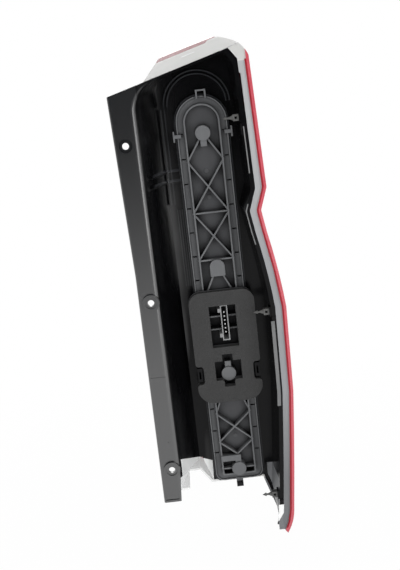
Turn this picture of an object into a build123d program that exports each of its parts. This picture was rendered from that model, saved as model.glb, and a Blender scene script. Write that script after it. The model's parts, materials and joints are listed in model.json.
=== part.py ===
import os
from math import atan, cos, pi, radians, sin, tan

from build123d import *

os.makedirs("parts", exist_ok=True)

# Tail lamp cluster for the outboard rear corner of a tall van, millimetres.
# Frame: +X outboard, +Y from the body side to the lens face, +Z up,
# origin at the middle screw hole on the flange's seating face.

# Screw flange
flange_thickness = 3.0
flange_top_left = -22.5
flange_mid_left = -15.5
flange_mid_height = 35.0
flange_right = 10.0
leg_right = 7.5
leg_bottom = -276.0
hole_radius = 4.2
upper_hole_x = -6.9
upper_hole_z = 199.8
lower_hole_z = -229.3
boss_radius = 11.0
boss_height = 3.4
counter_radius = 7.4
counter_depth = 1.4
dish_radius = 8.6
dish_depth = 1.0
dish_rim = 2.0
dish_rim_height = 1.0
roll_radius = 9.0
roll_steps = 5
edge_radius = 2.6
seam_z = -100.0
seam_width = 0.9
seam_depth = 0.6
leg_slot_top = -263.0
leg_slot_height = 10.0
leg_slot_margin = 2.6
leg_slot_depth = 1.4
vent_z = -190.0
vent_radius = 1.0

# Top edge of the lamp, common to flange, skirt and lens
top_height = 267.0
top_slope = 15.5
top_rise = 0.169

# Outboard side profile, from the top corner down to the tail
side_top_x = 153.5
side_top_z = 292.0
kink_out_x = 160.0
kink_out_z = 131.0
kink_in_x = 150.6
kink_in_z = 103.0
hip_x = 155.2
hip_z = 75.0
hip_mid_x = 164.4
hip_mid_z = 26.0
belly_x = 170.6
belly_top_z = -24.0
belly_low_x = 169.6
belly_low_z = -138.0
flank_mid_x = 163.6
flank_mid_z = -219.0
tail_x = 156.0
tail_z = -306.0
tail_mid_x = 152.2
tail_mid_z = -324.0
tip_x = 145.0
tip_z = -338.6
kink_radius = 7.0

# Lens and skirt
lens_wall = 3.5
skirt_wall = 2.5
rim_width = 5.5
rim_back = 2.0
rim_front = 4.0
top_slot_x = 82.0
top_slot_y = 58.0
top_slot_length = 17.0
top_slot_width = 5.0
band_thickness = 5.0
band_width = 8.5
skirt_left = 7.0
skirt_draft = 0.18
crest_x = 113.0
shoulder_bulge = 5.5
corner_x = 45.0
corner_rise = 46.0
foot_z = -262.0
heel_x = 36.0
well_left_x = 50.0
well_z = -282.0
well_right_x = 122.0
tail_inner_x = 137.0
tail_inner_z = -329.0
face_crown_x = 62.0
face_crown = 119.0
face_inboard = 100.0
face_shoulder_x = 128.0
face_shoulder = 112.0
face_turn_x = 157.0
face_turn = 95.0
face_side_x = 172.0
face_side = 58.0
face_turn_share = 0.7

# Housing tray
wall = 2.5
floor_depth = 62.0
rim_top = 2.8
rim_side = 5.5
floor_left = 37.0
floor_top_drop = 3.0
floor_side_inset = 4.0
tray_chamfer = 10.0
tray_chamfer_drop = 6.0
tray_corner = 5.0
tray_inboard_corner = 38.0
tray_floor_corner = 16.0
sill_z = -243.0
sill_right = 41.0
sill_front = 104.0
tray_tail_z = -262.0
strut_width = 3.5
seat_height = 9.0
seat_wall = 1.8
bulb_hole_radius = 15.0
ring_x = 86.0
ring_z = 238.0
ring_radius = 43.0
ring_step = 4.5
rib_width = 1.8
rib_height = 3.0
ring_height = 6.0
guide_count = 2
guide_x = 39.6
guide_pitch = 4.6
guide_top = 235.0
guide_bottom = 113.0
comb_x = 46.4
comb_pitch = 3.0
comb_count = 3
comb_top = 105.0
comb_bottom = 3.0
comb_width = 1.2
ridge_upper_z = 155.5
ridge_lower_z = 142.5
ridge_half = 4.5
ridge_height = 2.4
latch_margin = 1.6
latch_end_gap = 3.0
latch_reach = 29.0
latch_slot_width = 2.4
latch_slot_height = 11.0
latch_slot_depth = 14.0

# Bulb carrier
carrier_x = 89.5
carrier_half = 32.5
carrier_top = 248.0
carrier_bottom = -276.0
carrier_corner = 11.0
carrier_plate = 3.0
seal_thickness = 3.0
seal_margin = 1.0
seal_width = 6.0
carrier_fit = 0.8
ledge_height = 4.0
rail_inset = 9.5
rail_width = 2.0
rail_height = 12.0
truss_width = 2.0
truss_height = 11.0
socket_radius = 9.6
socket_height = 16.0
socket_end = 3.0
socket_tail = 12.5
neck_width = 8.0
neck_height = 14.0
neck_length = 17.0
truss_a_z = 166.6
truss_b_z = 99.4
truss_c_z = 36.8
truss_d_z = -176.7
truss_e_z = -217.6
truss_end_z = -237.0
ear_z = 200.0
ear_reach = 4.5
ear_height = 4.5
ear_bar = 2.0
ear_bar_length = 13.5
ear_thickness = 4.0
lip_width = 1.4
lip_height = 2.0
hoop_x = 92.0
hoop_width = 13.0
hoop_height = 8.0
hoop_bar = 2.0
hoop_foot = 3.0
hoop_reach = 6.0
notch_pitch = 32.0
notch_width = 1.8
notch_upper_count = 7
notch_lower_count = 3
shelf_z = -241.5
shelf_height = 8.0
tab_x = 89.0
tab_width = 9.0
tab_drop = 13.0
tab_thickness = 6.0
tab_hole = 2.6
tab_hole_pitch = 4.4
ejector_radius = 3.0
ejector_height = 0.8
ejector_heights = [152.0, 118.0, 66.0, -197.0, -214.0]

# Bulbs, by their heights on the carrier's centre line
stop_z = 202.0
indicator_z = 28.0
reverse_z = -119.0
fog_z = -257.0
cap_radius = 7.5
cap_fit = 0.1
cap_above_seal = 1.0
glass_radius = 12.5
glass_neck = 6.5
glass_length = 25.0
glass_flare = 0.3

# Gasket pad and foam gasket
pad_half = 43.0
pad_top = -2.5
pad_bottom = -155.0
pad_corner = 16.0
pad_low_corner = 21.0
pad_gap = 14.0
pad_thickness = 3.0
gasket_thickness = 9.0
pad_notch_z = -115.0
pad_notch_height = 25.0
pad_notch_depth = 10.0
pad_notch_corner = 4.0
window_half = 17.5
window_top = -22.0
window_bottom = -78.5
cross_bar_height = 26.5
cross_z = -111.0
cross_stem_half = 7.0
cross_stem_height = 45.0
web_upper = 7.0
web_lower = 10.6

# Plug connector
shroud_width = 9.5
shroud_height = 48.0
shroud_wall = 1.4
shroud_reach = 24.0
shroud_x = 91.5
shroud_z = -46.0
key_size = 5.0
key_reach = 3.4
key_offset = 17.0
shroud_fit = 0.2
pin_count = 6
pin_pitch = 5.4
pin_size = 1.6
pin_reach = 20.0
strip_thickness = 0.8
strip_width = 5.0
lane_width = 2.4
lane_pitch = 5.0
track_gap = 0.4
earth_tail = 2.4

# Push clips
clip_depth = 8.0
clip_upper_z = 219.0
clip_middle_z = -30.0
clip_lower_z = -284.0
holder_width = 12.0
holder_length = 9.5
holder_sink = 1.5
holder_recess = 1.2
clip_body = 8.0
clip_body_length = 7.0
clip_shoulder = 3.4
clip_neck = 1.3
clip_head = 2.6
clip_cone_length = 5.0
clip_neck_length = 2.5
clip_head_length = 5.5
clip_slot = 3.2
strip_spans = [(208.0, 150.0), (112.0, 60.0)]
strip_inner = 4.0
strip_bar = 1.4
strip_height = 1.4
cap_strip_top = -42.0
cap_strip_bottom = -157.0
cap_strip_inner = 2.5
cap_strip_bar = 4.4

# Reflector and face windows
reflector_depth = 94.0
reflector_wall = 1.6
bowl_radius = 47.0
bowl_waist = 36.0
reflector_margin = 6.0
reflector_right = 136.0
window_left = 30.0
window_right = 118.0
indicator_top = 96.0
window_split = -45.0
window_bar = 6.0
reverse_bottom = -184.0
window_corner = 8.0

# Depths that follow from the stack of floor, seal, carrier and gasket
seal_back = floor_depth - seal_thickness
plate_back = seal_back - carrier_plate
ledge_back = plate_back - ledge_height
rail_back = plate_back - rail_height
truss_back = plate_back - truss_height
socket_back = plate_back - socket_height
neck_back = plate_back - neck_height
pad_front = plate_back - pad_gap
pad_back = pad_front - pad_thickness
gasket_back = pad_back - gasket_thickness
shroud_back = plate_back - shroud_reach
bulb_heights = [stop_z, indicator_z, reverse_z, fog_z]
clip_heights = [clip_upper_z, clip_middle_z, clip_lower_z]
pin_top = shroud_z + (pin_count - 1) * pin_pitch / 2
pin_heights = [pin_top - i * pin_pitch for i in range(pin_count)]
web_heights = [shroud_z + web_upper, shroud_z - web_lower, cross_z + cross_stem_height / 2]
notch_middle = carrier_half - rail_inset / 2
notch_columns = [carrier_x - notch_middle, carrier_x + notch_middle]
notch_start = pad_bottom - notch_pitch / 2
notch_heights = [stop_z - i * notch_pitch for i in range(notch_upper_count)]
notch_heights += [notch_start - i * notch_pitch for i in range(notch_lower_count)]
top_grade = tan(radians(top_slope))
wall_grade = (floor_left - flange_right) / floor_depth
roll_angle = pi / 2 - atan(wall_grade)
roll_left = flange_right - roll_radius * tan(roll_angle / 2)
seat_half = carrier_half + carrier_fit + seat_wall
band_inset = rim_width + band_width
tray_inset = band_inset + rim_side
foot_clear = skirt_wall + carrier_fit
holder_inset = band_inset - holder_sink
side_reach = 60.0
below_all = tip_z - side_reach
above_all = top_height + 2 * side_reach


def level(depth):
    # Sketch plane of (x, z) at a depth; extrusions from it run back towards the body side
    return Plane.XZ.offset(-depth)


def top_line(x):
    return top_height + top_grade * x


def top_plane(inset):
    plane = Plane(origin=(0, 0, top_height), z_dir=(-top_grade, -top_rise, 1))
    return plane.offset(-inset)


def inboard_plane(inset):
    plane = Plane(origin=(skirt_left, flange_thickness, 0), z_dir=(-1, skirt_draft, 0))
    return plane.offset(-inset)


def side_edge(inset, drop=0.0):
    # The outboard profile, moved inboard by inset and started lower by drop
    hip = (hip_x - inset, hip_z)
    belly = (belly_x - inset, belly_top_z)
    belly_low = (belly_low_x - inset, belly_low_z)
    tail = (tail_x - inset, tail_z)
    FilletPolyline(
        (side_top_x - inset, side_top_z - drop),
        (kink_out_x - inset, kink_out_z),
        (kink_in_x - inset, kink_in_z),
        hip,
        radius=kink_radius,
    )
    ThreePointArc(hip, (hip_mid_x - inset, hip_mid_z), belly)
    Line(belly, belly_low)
    ThreePointArc(belly_low, (flank_mid_x - inset, flank_mid_z), tail)
    ThreePointArc(tail, (tail_mid_x - inset, tail_mid_z), (tip_x - inset, tip_z))


def side_face_x(z):
    # Outboard x of the side profile at a height, by straight runs between its named points
    points = [
        (side_top_z, side_top_x),
        (kink_out_z, kink_out_x),
        (kink_in_z, kink_in_x),
        (hip_z, hip_x),
        (hip_mid_z, hip_mid_x),
        (belly_top_z, belly_x),
        (belly_low_z, belly_low_x),
        (flank_mid_z, flank_mid_x),
        (tail_z, tail_x),
    ]
    for (high, high_x), (low, low_x) in zip(points, points[1:]):
        if low <= z <= high:
            return low_x + (high_x - low_x) * (z - low) / (high - low)
    return side_top_x


def lens_face():
    # The lamp seen along Y: tail, foot, inboard side, chamfered corner, top and outboard profile
    crest = (crest_x, top_line(crest_x) + top_rise * face_crown)
    shoulder = (
        (crest_x + side_top_x) / 2 + shoulder_bulge,
        (crest[1] + side_top_z) / 2 + shoulder_bulge,
    )
    corner_z = top_line(corner_x) + top_rise * face_crown
    with BuildLine() as outline:
        Polyline(
            (tip_x, tip_z),
            (tail_inner_x, tail_inner_z),
            (well_right_x, well_z),
            (well_left_x, well_z),
            (heel_x, foot_z),
            (skirt_left, foot_z),
            (skirt_left, corner_z - corner_rise),
            (corner_x, corner_z),
            crest,
        )
        ThreePointArc(crest, shoulder, (side_top_x, side_top_z))
        side_edge(0)
    make_face(outline.edges())


def side_face(inset, mode=Mode.ADD):
    # Everything inboard of the side profile
    with BuildLine() as outline:
        side_edge(inset, -side_reach)
        Polyline(
            (tip_x - inset, tip_z),
            (tip_x - inset, below_all),
            (-side_reach, below_all),
            (-side_reach, side_top_z + side_reach),
            (side_top_x - inset, side_top_z + side_reach),
        )
    make_face(outline.edges(), mode=mode)


def plan_face(inset):
    # The lamp seen along Z: shallow crowned face with a rounded outboard corner
    inboard = (-side_reach, face_inboard - inset)
    shoulder = (face_shoulder_x - inset / 2, face_shoulder - inset)
    side = (face_side_x - inset, face_side - inset)
    with BuildLine() as outline:
        ThreePointArc(inboard, (face_crown_x, face_crown - inset), shoulder)
        turn_inset = inset * face_turn_share
        ThreePointArc(shoulder, (face_turn_x - turn_inset, face_turn - turn_inset), side)
        Polyline(side, (face_side_x - inset, -side_reach), (-side_reach, -side_reach), inboard)
    make_face(outline.edges())


def tray_face(drop, left, inset, corner):
    # Section of the tray, open below: drop from the top line, inboard x, outboard inset, corner radius
    lead_x = side_top_x - inset - tray_chamfer
    side_drop = drop + tray_chamfer_drop
    with BuildLine() as outline:
        FilletPolyline(
            (left, below_all),
            (left, top_line(left) - drop),
            (lead_x, top_line(lead_x) - drop),
            (side_top_x - inset, side_top_z - side_drop),
            radius=[corner, tray_corner],
        )
        side_edge(inset, side_drop)
        Polyline((tip_x - inset, tip_z), (tip_x - inset, below_all), (left, below_all))
    make_face(outline.edges())


def carrier_face(grow, mode=Mode.ADD):
    # Carrier outline: round top, straight flanks, rounded lower corners, grown by an offset
    half = carrier_half + grow
    shoulder = carrier_top - carrier_half
    with BuildLine() as outline:
        FilletPolyline(
            (carrier_x - half, shoulder),
            (carrier_x - half, carrier_bottom - grow),
            (carrier_x + half, carrier_bottom - grow),
            (carrier_x + half, shoulder),
            radius=max(carrier_corner + grow, rail_width),
        )
        ThreePointArc(
            (carrier_x + half, shoulder),
            (carrier_x, carrier_top + grow),
            (carrier_x - half, shoulder),
        )
    make_face(outline.edges(), mode=mode)


def pad_face():
    # Gasket outline: rounded pad with a latch notch in each flank and two windows
    left = carrier_x - pad_half
    right = carrier_x + pad_half
    notch_high = pad_notch_z + pad_notch_height / 2
    notch_low = pad_notch_z - pad_notch_height / 2
    notch_corners = [pad_notch_corner] * 4
    with BuildLine() as outline:
        FilletPolyline(
            (left, pad_top),
            (right, pad_top),
            (right, notch_high),
            (right - pad_notch_depth, notch_high),
            (right - pad_notch_depth, notch_low),
            (right, notch_low),
            (right, pad_bottom),
            (left, pad_bottom),
            (left, notch_low),
            (left + pad_notch_depth, notch_low),
            (left + pad_notch_depth, notch_high),
            (left, notch_high),
            radius=[pad_corner] * 2 + notch_corners + [pad_low_corner] * 2 + notch_corners,
            close=True,
        )
    make_face(outline.edges())
    with Locations((carrier_x, (window_top + window_bottom) / 2)):
        Rectangle(2 * window_half, window_top - window_bottom, mode=Mode.SUBTRACT)
    with Locations((carrier_x, cross_z)):
        Rectangle(2 * window_half, cross_bar_height, mode=Mode.SUBTRACT)
        Rectangle(2 * cross_stem_half, cross_stem_height, mode=Mode.SUBTRACT)
    with Locations((carrier_x, reverse_z)):
        Circle(socket_radius + carrier_fit, mode=Mode.SUBTRACT)


def rib(start, end, width):
    # Straight rib seen along Y, with round ends
    middle = ((start[0] + end[0]) / 2, (start[1] + end[1]) / 2)
    SlotCenterPoint(middle, end, height=width)


def finish(piece, name):
    piece.part.label = name
    export_step(piece.part, f"parts/{name}.step")


# Space inside the red lens: inboard of its side wall and behind its face wall
with BuildPart() as lens_space:
    with BuildSketch(level(face_crown)):
        side_face(lens_wall)
    extrude(amount=face_crown + side_reach)
    with BuildSketch(Plane.XY.offset(below_all)):
        plan_face(lens_wall)
    extrude(amount=above_all - below_all, mode=Mode.INTERSECT)

# Full outer block of the lamp in front of the flange
with BuildPart() as lamp_block:
    with BuildSketch(level(face_crown)):
        lens_face()
    extrude(amount=face_crown + rim_back)
    with BuildSketch(Plane.XY.offset(below_all)):
        plan_face(0)
    extrude(amount=above_all - below_all, mode=Mode.INTERSECT)
    split(bisect_by=top_plane(0), keep=Keep.BOTTOM)
    split(bisect_by=inboard_plane(0), keep=Keep.BOTTOM)

# Windows of the face, as blocks that pass right through it
with BuildPart() as indicator_block:
    with BuildSketch(level(face_crown)):
        with Locations(((window_left + window_right) / 2, (indicator_top + window_split) / 2)):
            RectangleRounded(window_right - window_left, indicator_top - window_split, window_corner)
    extrude(amount=face_crown - face_side)

with BuildPart() as reverse_block:
    with BuildSketch(level(face_crown)):
        reverse_top = window_split - window_bar
        with Locations(((window_left + window_right) / 2, (reverse_top + reverse_bottom) / 2)):
            RectangleRounded(window_right - window_left, reverse_top - reverse_bottom, window_corner)
    extrude(amount=face_crown - face_side)

# Red lens: face and outboard side in one wall, with a thick rim on the body side
with BuildPart() as outer_lens:
    add(lamp_block.part)
    add(lens_space.part, mode=Mode.SUBTRACT)
    with BuildSketch(level(rim_front)):
        lens_face()
        side_face(rim_width, mode=Mode.SUBTRACT)
    extrude(amount=rim_front + rim_back)
    add(indicator_block.part, mode=Mode.SUBTRACT)
    add(reverse_block.part, mode=Mode.SUBTRACT)
finish(outer_lens, "outer_lens")

# Clear windows moulded flush into the red face
with BuildPart() as indicator_window:
    add(lamp_block.part)
    add(lens_space.part, mode=Mode.SUBTRACT)
    add(indicator_block.part, mode=Mode.INTERSECT)
finish(indicator_window, "indicator_window")

with BuildPart() as reverse_window:
    add(lamp_block.part)
    add(lens_space.part, mode=Mode.SUBTRACT)
    add(reverse_block.part, mode=Mode.INTERSECT)
finish(reverse_window, "reverse_window")

# Hollow of the tray, drafted from its mouth to its floor and open below
with BuildPart() as tray_space:
    for step in range(roll_steps + 1):
        turn = roll_angle * step / roll_steps
        depth = roll_radius * (1 - cos(turn))
        share = depth / floor_depth
        with BuildSketch(level(depth)):
            tray_face(
                rim_top + floor_top_drop * share,
                roll_left + roll_radius * sin(turn),
                tray_inset + floor_side_inset * share,
                tray_inboard_corner + (tray_floor_corner - tray_inboard_corner) * share,
            )
    with BuildSketch(level(floor_depth)):
        tray_face(rim_top + floor_top_drop, floor_left, tray_inset + floor_side_inset, tray_floor_corner)
    loft(ruled=True)

# Outside of the tray, one wall thickness larger
with BuildPart() as tray_block:
    with BuildSketch(level(0)):
        outer_corner = tray_inboard_corner + 2 * wall
        tray_face(rim_top - wall, flange_right - wall, tray_inset - wall, outer_corner)
    with BuildSketch(level(floor_depth + wall)):
        outer_drop = rim_top - wall + floor_top_drop
        outer_inset = tray_inset - wall + floor_side_inset
        tray_face(outer_drop, floor_left - wall, outer_inset, tray_floor_corner + wall)
    loft(ruled=True)

# Light wall that stands in for the tray's outboard wall in the tail, above a thin black strut
with BuildPart() as tail_wall:
    add(tray_block.part)
    add(tray_space.part, mode=Mode.SUBTRACT)
    with BuildSketch(level(floor_depth + wall)):
        with BuildLine():
            Polyline(
                (well_right_x + foot_clear + strut_width, tray_tail_z),
                (face_side_x, tray_tail_z),
                (face_side_x, tail_inner_z + foot_clear),
                (tail_inner_x + foot_clear + strut_width, tail_inner_z + foot_clear),
                (well_right_x + foot_clear + strut_width, well_z + foot_clear),
                close=True,
            )
        make_face()
    extrude(amount=floor_depth + wall - flange_thickness, mode=Mode.INTERSECT)

# Sloping sill that closes the lamp below the tray floor, up to the foot of the skirt
with BuildPart() as sill:
    with BuildSketch(Plane.YZ.offset(skirt_left)):
        with BuildLine():
            Polyline(
                (flange_thickness, sill_z),
                (floor_depth, sill_z),
                (sill_front, foot_z + skirt_wall + carrier_fit),
                (sill_front, foot_z + 2 * skirt_wall + carrier_fit),
                (floor_depth, sill_z + wall),
                (flange_thickness, sill_z + wall),
                close=True,
            )
        make_face()
    extrude(amount=sill_right - skirt_left)
    split(bisect_by=inboard_plane(skirt_wall + carrier_fit), keep=Keep.BOTTOM)

# Black housing: screw flange and rim, drafted tray, carrier seat, bosses and clip holders
with BuildPart() as housing:
    add(tray_block.part)
    with BuildSketch(level(floor_depth + wall)):
        with BuildLine():
            Polyline(
                (0, sill_z),
                (sill_right, sill_z),
                (well_left_x + foot_clear, well_z + foot_clear),
                (well_right_x + foot_clear, well_z + foot_clear),
                (tail_inner_x + foot_clear, tail_inner_z + foot_clear),
                (face_side_x, tail_inner_z + foot_clear),
                (face_side_x, below_all),
                (0, below_all),
                close=True,
            )
        make_face()
    extrude(amount=floor_depth + wall, mode=Mode.SUBTRACT)
    with BuildSketch(level(flange_thickness)):
        with BuildLine():
            chamfer_x = side_top_x - band_inset - tray_chamfer
            side_edge(band_inset, rim_top)
            Polyline(
                (side_top_x - band_inset, side_top_z - rim_top),
                (chamfer_x, top_line(chamfer_x)),
                (flange_top_left, top_line(flange_top_left)),
                (flange_mid_left, flange_mid_height),
                (flange_mid_left, leg_bottom),
                (leg_right, leg_bottom),
                (flange_right, sill_z),
                (tip_x - band_inset, tip_z),
            )
        make_face()
        with Locations((tip_x, tail_inner_z + foot_clear)):
            Rectangle(side_reach, side_reach, align=(Align.CENTER, Align.MAX), mode=Mode.SUBTRACT)
    extrude(amount=flange_thickness)
    left_edges = edges().filter_by_position(Axis.Y, -seam_depth, seam_depth)
    left_edges = left_edges.filter_by_position(Axis.X, flange_top_left, flange_mid_left)
    fillet(left_edges, radius=edge_radius)
    add(sill.part)
    add(tray_space.part, mode=Mode.SUBTRACT)
    add(tail_wall.part, mode=Mode.SUBTRACT)
    with BuildSketch(level(floor_depth)):
        carrier_face(carrier_fit + seat_wall)
        carrier_face(carrier_fit, mode=Mode.SUBTRACT)
        with Locations((carrier_x, carrier_bottom - carrier_fit)):
            Rectangle(
                2 * side_reach, 2 * seat_wall, align=(Align.CENTER, Align.MAX), mode=Mode.SUBTRACT
            )
    extrude(amount=seat_height)
    with BuildSketch(level(floor_depth)):
        with Locations((ring_x, ring_z)):
            Circle(ring_radius)
            Circle(ring_radius - rib_width, mode=Mode.SUBTRACT)
            Circle(ring_radius - ring_step)
            Circle(ring_radius - ring_step - rib_width, mode=Mode.SUBTRACT)
            Rectangle(
                2 * side_reach, side_reach, align=(Align.CENTER, Align.MAX), mode=Mode.SUBTRACT
            )
    extrude(amount=ring_height)
    with BuildSketch(level(floor_depth)):
        for column in range(guide_count):
            rib_x = guide_x + column * guide_pitch
            rib((rib_x, guide_top), (rib_x, guide_bottom), rib_width)
        for column in range(comb_count):
            rib_x = comb_x + column * comb_pitch
            rib((rib_x, comb_top), (rib_x, comb_bottom), comb_width)
    extrude(amount=rib_height)
    for ridge_z in [ridge_upper_z, ridge_lower_z]:
        for depth in [roll_radius, floor_depth]:
            wall_x = flange_right + wall_grade * depth
            with BuildSketch(level(depth)):
                with BuildLine():
                    Polyline(
                        (wall_x - wall / 2, ridge_z - ridge_half),
                        (wall_x + ridge_height, ridge_z),
                        (wall_x - wall / 2, ridge_z + ridge_half),
                        close=True,
                    )
                make_face()
        loft(ruled=True)
        with BuildSketch(Plane.YZ.offset(floor_left)):
            with BuildLine():
                Polyline(
                    (floor_depth + wall / 2, ridge_z - ridge_half),
                    (floor_depth - ridge_height, ridge_z),
                    (floor_depth + wall / 2, ridge_z + ridge_half),
                    close=True,
                )
            make_face()
        extrude(amount=carrier_x - seat_half - floor_left)
    latch_width = pad_half - latch_margin - seat_half
    latch_places = [(carrier_x + side * (seat_half + latch_width / 2), pad_notch_z) for side in [-1, 1]]
    with BuildSketch(level(floor_depth)):
        with Locations(latch_places):
            Rectangle(latch_width, pad_notch_height - 2 * latch_end_gap)
    extrude(amount=latch_reach)
    with BuildSketch(level(floor_depth - latch_reach + latch_slot_depth)):
        with Locations(latch_places):
            Rectangle(latch_slot_width, latch_slot_height)
    extrude(amount=latch_slot_depth, mode=Mode.SUBTRACT)
    with BuildSketch(level(floor_depth + wall)):
        with Locations([(carrier_x, z) for z in bulb_heights]):
            Circle(bulb_hole_radius)
    extrude(amount=wall + seat_height, mode=Mode.SUBTRACT)
    for clip_z in clip_heights:
        with BuildSketch(level(clip_depth + holder_width / 2)):
            with Locations((side_face_x(clip_z) - holder_inset, clip_z)):
                Rectangle(holder_length, holder_width, align=(Align.MAX, Align.CENTER))
        extrude(amount=holder_width)
        with BuildSketch(level(holder_recess)):
            with Locations((side_face_x(clip_z) - tray_inset, clip_z)):
                Rectangle(rim_side, holder_width, align=(Align.MIN, Align.CENTER))
        extrude(amount=holder_recess, mode=Mode.SUBTRACT)
    with BuildSketch(level(flange_thickness)):
        with Locations((0, 0), (0, lower_hole_z)):
            Circle(boss_radius)
    extrude(amount=flange_thickness + boss_height)
    with BuildSketch(level(counter_depth - boss_height)):
        with Locations((0, 0), (0, lower_hole_z)):
            Circle(counter_radius)
    extrude(amount=counter_depth, mode=Mode.SUBTRACT)
    with BuildSketch(level(0)):
        with Locations((upper_hole_x, upper_hole_z)):
            Circle(dish_radius + dish_rim)
            Circle(dish_radius, mode=Mode.SUBTRACT)
    extrude(amount=dish_rim_height)
    with BuildSketch(level(dish_depth)):
        with Locations((upper_hole_x, upper_hole_z)):
            Circle(dish_radius)
    extrude(amount=dish_depth, mode=Mode.SUBTRACT)
    with BuildSketch(level(flange_thickness)):
        with Locations((0, 0), (0, lower_hole_z), (upper_hole_x, upper_hole_z)):
            Circle(hole_radius)
    extrude(amount=flange_thickness + boss_height, mode=Mode.SUBTRACT)
    with BuildSketch(level(seam_depth)):
        with Locations((flange_mid_left, seam_z)):
            Rectangle(leg_right - flange_mid_left, seam_width, align=(Align.MIN, Align.CENTER))
        with Locations((0, vent_z)):
            Circle(vent_radius)
    extrude(amount=seam_depth, mode=Mode.SUBTRACT)
    with BuildSketch(level(leg_slot_depth)):
        with Locations((flange_mid_left + leg_slot_margin, leg_slot_top)):
            Rectangle(
                leg_right - flange_mid_left - 2 * leg_slot_margin,
                leg_slot_height,
                align=(Align.MIN, Align.MAX),
            )
    extrude(amount=leg_slot_depth, mode=Mode.SUBTRACT)
finish(housing, "housing")

# Room inside the skirt's walls
with BuildPart() as skirt_space:
    with BuildSketch(level(face_crown)):
        lens_face()
        offset(amount=-skirt_wall, kind=Kind.INTERSECTION)
    extrude(amount=face_crown + side_reach)
    split(bisect_by=top_plane(skirt_wall), keep=Keep.BOTTOM)
    split(bisect_by=inboard_plane(skirt_wall), keep=Keep.BOTTOM)

# Outboard band of the skirt on the body side, with a web that fills the top outboard corner
with BuildPart() as band_block:
    with BuildSketch(level(band_thickness)):
        with Locations((side_top_x, side_top_z - 2 * tray_chamfer)):
            Rectangle(band_inset + 2 * tray_chamfer, side_reach, align=(Align.MAX, Align.MIN))
    extrude(amount=band_thickness)
    with BuildSketch(level(band_thickness)):
        lens_face()
        side_face(band_inset, mode=Mode.SUBTRACT)
    extrude(amount=band_thickness)
    add(lamp_block.part, mode=Mode.INTERSECT)
    add(tray_space.part, mode=Mode.SUBTRACT)

# Grey skirt: top, inboard and foot walls behind the red face, and the outboard band
with BuildPart() as lens_skirt:
    add(lamp_block.part)
    add(lens_space.part, mode=Mode.INTERSECT)
    split(bisect_by=level(flange_thickness), keep=Keep.BOTTOM)
    add(skirt_space.part, mode=Mode.SUBTRACT)
    with BuildSketch(level(floor_depth)):
        fin_x = skirt_left + skirt_draft * floor_depth + skirt_wall
        with Locations((fin_x, sill_z)):
            Rectangle(tail_inner_x - fin_x, sill_z - below_all, align=(Align.MIN, Align.MAX))
    extrude(amount=floor_depth, mode=Mode.SUBTRACT)
    add(tail_wall.part)
    add(band_block.part)
    with BuildSketch(level(band_thickness)):
        lens_face()
        side_face(tray_inset, mode=Mode.SUBTRACT)
        with Locations((tip_x, tray_tail_z)):
            Rectangle(
                2 * side_reach,
                tray_tail_z - below_all,
                align=(Align.CENTER, Align.MAX),
                mode=Mode.INTERSECT,
            )
    extrude(amount=band_thickness - flange_thickness)
    with BuildSketch(Plane.XY.offset(top_line(top_slot_x))):
        with Locations((top_slot_x, top_slot_y)):
            Rectangle(top_slot_length, top_slot_width)
    extrude(amount=side_reach, mode=Mode.SUBTRACT)
    add(outer_lens.part, mode=Mode.SUBTRACT)
    add(housing.part, mode=Mode.SUBTRACT)
finish(lens_skirt, "lens_skirt")

# Foam seal between the carrier's rim and the tray floor
with BuildPart() as carrier_seal:
    with BuildSketch(level(floor_depth)):
        carrier_face(-seal_margin)
        carrier_face(-seal_margin - seal_width, mode=Mode.SUBTRACT)
    extrude(amount=seal_thickness)
finish(carrier_seal, "carrier_seal")

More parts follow.
